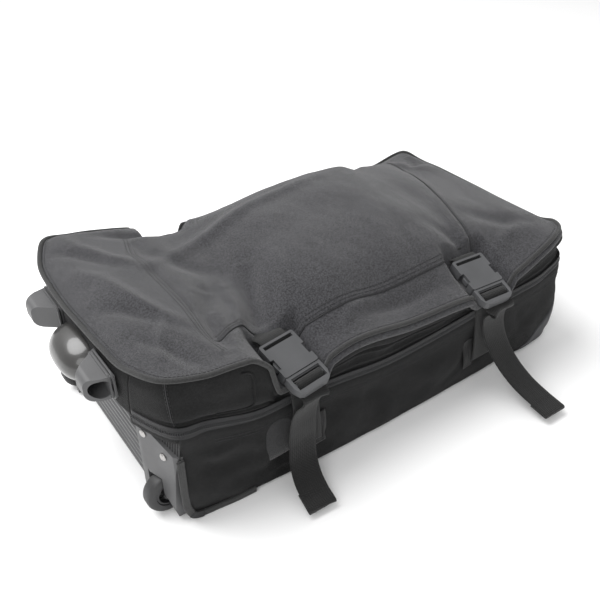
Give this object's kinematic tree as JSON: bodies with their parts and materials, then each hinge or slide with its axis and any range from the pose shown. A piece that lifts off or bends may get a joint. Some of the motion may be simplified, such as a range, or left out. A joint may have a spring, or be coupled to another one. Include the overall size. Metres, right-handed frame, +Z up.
{
  "type": "wheeled cabin travel bag",
  "caption": "Soft wheeled cabin bag lying on its back: zipped front panel over a tub, compression straps with side-release buckles, corner wheels, feet, telescopic handle.",
  "frame": {"origin": "middle of the whole bag's box, on the surface that it lies on", "axes": "+X from the wheel end to the trolley-handle end, +Y from the near long side to the far one, +Z up through the front panel, with the bag on its back"},
  "size_m": [0.5928, 0.4962, 0.1833],
  "materials": {
    "body_fabric": "dark charcoal woven polyester, matt, coated inside",
    "lid_fabric": "charcoal woven polyester, lighter where it faces up, faint blue cast",
    "webbing": "ribbed polypropylene webbing, matt black",
    "zip_coil": "nylon coil on a woven tape",
    "zip_metal": "black lacquered zinc",
    "wheel_rubber": "dark soft tread, slightly scuffed",
    "hub_plastic": "moulded black",
    "bright_steel": "bright nickel-plated steel",
    "tube_aluminium": "satin anodised",
    "gloss_plastic": "polished moulded plastic",
    "board": "plain stiffener board",
    "buckle_plastic": "satin acetal with fine moulded grain",
    "moulded_plastic": "fine-textured moulded plastic"
  },
  "bodies": {
    "case": {"main_compartment_shell": "body_fabric", "back_cover": "body_fabric", "back_board": "board", "end_gusset": "body_fabric", "wheel_end_panel": "moulded_plastic", "wheel_housing_near": "moulded_plastic", "wheel_housing_far": "moulded_plastic", "rivet_near_1": "bright_steel", "rivet_near_2": "bright_steel", "rivet_far_1": "bright_steel", "rivet_far_2": "bright_steel", "axle_near": "bright_steel", "axle_far": "bright_steel", "foot_near": "moulded_plastic", "foot_far": "moulded_plastic", "end_grab_handle": "gloss_plastic", "zip_track": "zip_coil", "lower_strap_wheel_end_near": "webbing", "lower_strap_wheel_end_far": "webbing", "lower_strap_handle_end_near": "webbing", "lower_strap_handle_end_far": "webbing", "trolley_foot_bracket": "moulded_plastic", "trolley_outer_tube_near": "tube_aluminium", "trolley_outer_tube_far": "tube_aluminium", "handle_end_bezel": "moulded_plastic"},
    "lid": {"lid_shell": "lid_fabric", "front_pocket": "lid_fabric", "upper_strap_wheel_end_near": "webbing", "upper_strap_wheel_end_far": "webbing", "upper_strap_handle_end_near": "webbing", "upper_strap_handle_end_far": "webbing", "buckle_socket_wheel_end_near": "buckle_plastic", "buckle_socket_wheel_end_far": "buckle_plastic", "buckle_socket_handle_end_near": "buckle_plastic", "buckle_socket_handle_end_far": "buckle_plastic"},
    "wheel_near": {"tyre_near": "wheel_rubber", "hub_near": "hub_plastic"},
    "wheel_far": {"tyre_far": "wheel_rubber", "hub_far": "hub_plastic"},
    "plug_wheel_end_near": {"buckle_plug_wheel_end_near": "buckle_plastic", "buckle_prongs_wheel_end_near": "buckle_plastic", "strap_tail_wheel_end_near": "webbing"},
    "plug_wheel_end_far": {"buckle_plug_wheel_end_far": "buckle_plastic", "buckle_prongs_wheel_end_far": "buckle_plastic", "strap_tail_wheel_end_far": "webbing"},
    "plug_handle_end_near": {"buckle_plug_handle_end_near": "buckle_plastic", "buckle_prongs_handle_end_near": "buckle_plastic", "strap_tail_handle_end_near": "webbing"},
    "plug_handle_end_far": {"buckle_plug_handle_end_far": "buckle_plastic", "buckle_prongs_handle_end_far": "buckle_plastic", "strap_tail_handle_end_far": "webbing"},
    "trolley": {"trolley_inner_tube_near": "tube_aluminium", "trolley_inner_tube_far": "tube_aluminium", "trolley_grip": "moulded_plastic"},
    "trolley_button": {"trolley_button": "moulded_plastic"},
    "carry_handle": {"carry_handle": "body_fabric"},
    "zip_slider_a": {"zip_slider_a": "zip_metal"},
    "zip_pull_a": {"zip_pull_a": "zip_metal"},
    "zip_slider_b": {"zip_slider_b": "zip_metal"},
    "zip_pull_b": {"zip_pull_b": "zip_metal"}
  },
  "joints": [
    {"name": "wheel_near_spin", "type": "hinge", "parent": "case", "child": "wheel_near", "pos_m": [-0.2465, -0.111, 0.0225], "axis": [0, 1, 0], "continuous": true},
    {"name": "wheel_far_spin", "type": "hinge", "parent": "case", "child": "wheel_far", "pos_m": [-0.2465, 0.111, 0.0225], "axis": [0, 1, 0], "continuous": true},
    {"name": "lid_open", "type": "hinge", "parent": "case", "child": "lid", "pos_m": [-0.264, 0, 0.1672], "axis": [0, -1, 0], "range_deg": [0, 105], "deforming": ["buckle_prongs_wheel_end_near", "buckle_prongs_wheel_end_far", "buckle_prongs_handle_end_near", "buckle_prongs_handle_end_far"]},
    {"name": "release_wheel_end_near", "type": "slide", "parent": "case", "child": "plug_wheel_end_near", "axis": [0.1463, -0.9244, -0.3523], "range_m": [0, 0.03]},
    {"name": "release_wheel_end_far", "type": "slide", "parent": "case", "child": "plug_wheel_end_far", "axis": [0.1463, 0.9244, -0.3523], "range_m": [0, 0.03]},
    {"name": "release_handle_end_near", "type": "slide", "parent": "case", "child": "plug_handle_end_near", "axis": [-0.0468, -0.9347, -0.3523], "range_m": [0, 0.03]},
    {"name": "release_handle_end_far", "type": "slide", "parent": "case", "child": "plug_handle_end_far", "axis": [-0.0468, 0.9347, -0.3523], "range_m": [0, 0.03]},
    {"name": "trolley_extend", "type": "slide", "parent": "case", "child": "trolley", "axis": [1, 0, 0], "range_m": [0, 0.36]},
    {"name": "trolley_button_press", "type": "slide", "parent": "trolley", "child": "trolley_button", "axis": [-1, 0, 0], "range_m": [0, 0.003], "stiffness_N_per_m": 500, "springref_m": -0.002},
    {"name": "carry_handle_swing", "type": "hinge", "parent": "case", "child": "carry_handle", "pos_m": [0.2743, 0, 0.08], "axis": [0, -1, 0], "range_deg": [0, 95]},
    {"name": "zip_slider_a_run", "type": "slide", "parent": "case", "child": "zip_slider_a", "axis": [1, 0, 0], "range_m": [-0.024, 0.002]},
    {"name": "zip_pull_a_swing", "type": "hinge", "parent": "zip_slider_a", "child": "zip_pull_a", "pos_m": [0.185, 0.1496, 0.0925], "axis": [1, 0, 0], "range_deg": [0, 120]},
    {"name": "zip_slider_b_run", "type": "slide", "parent": "case", "child": "zip_slider_b", "axis": [1, 0, 0], "range_m": [-0.002, 0.03]},
    {"name": "zip_pull_b_swing", "type": "hinge", "parent": "zip_slider_b", "child": "zip_pull_b", "pos_m": [0.202, 0.1496, 0.0925], "axis": [1, 0, 0], "range_deg": [0, 120]}
  ]
}
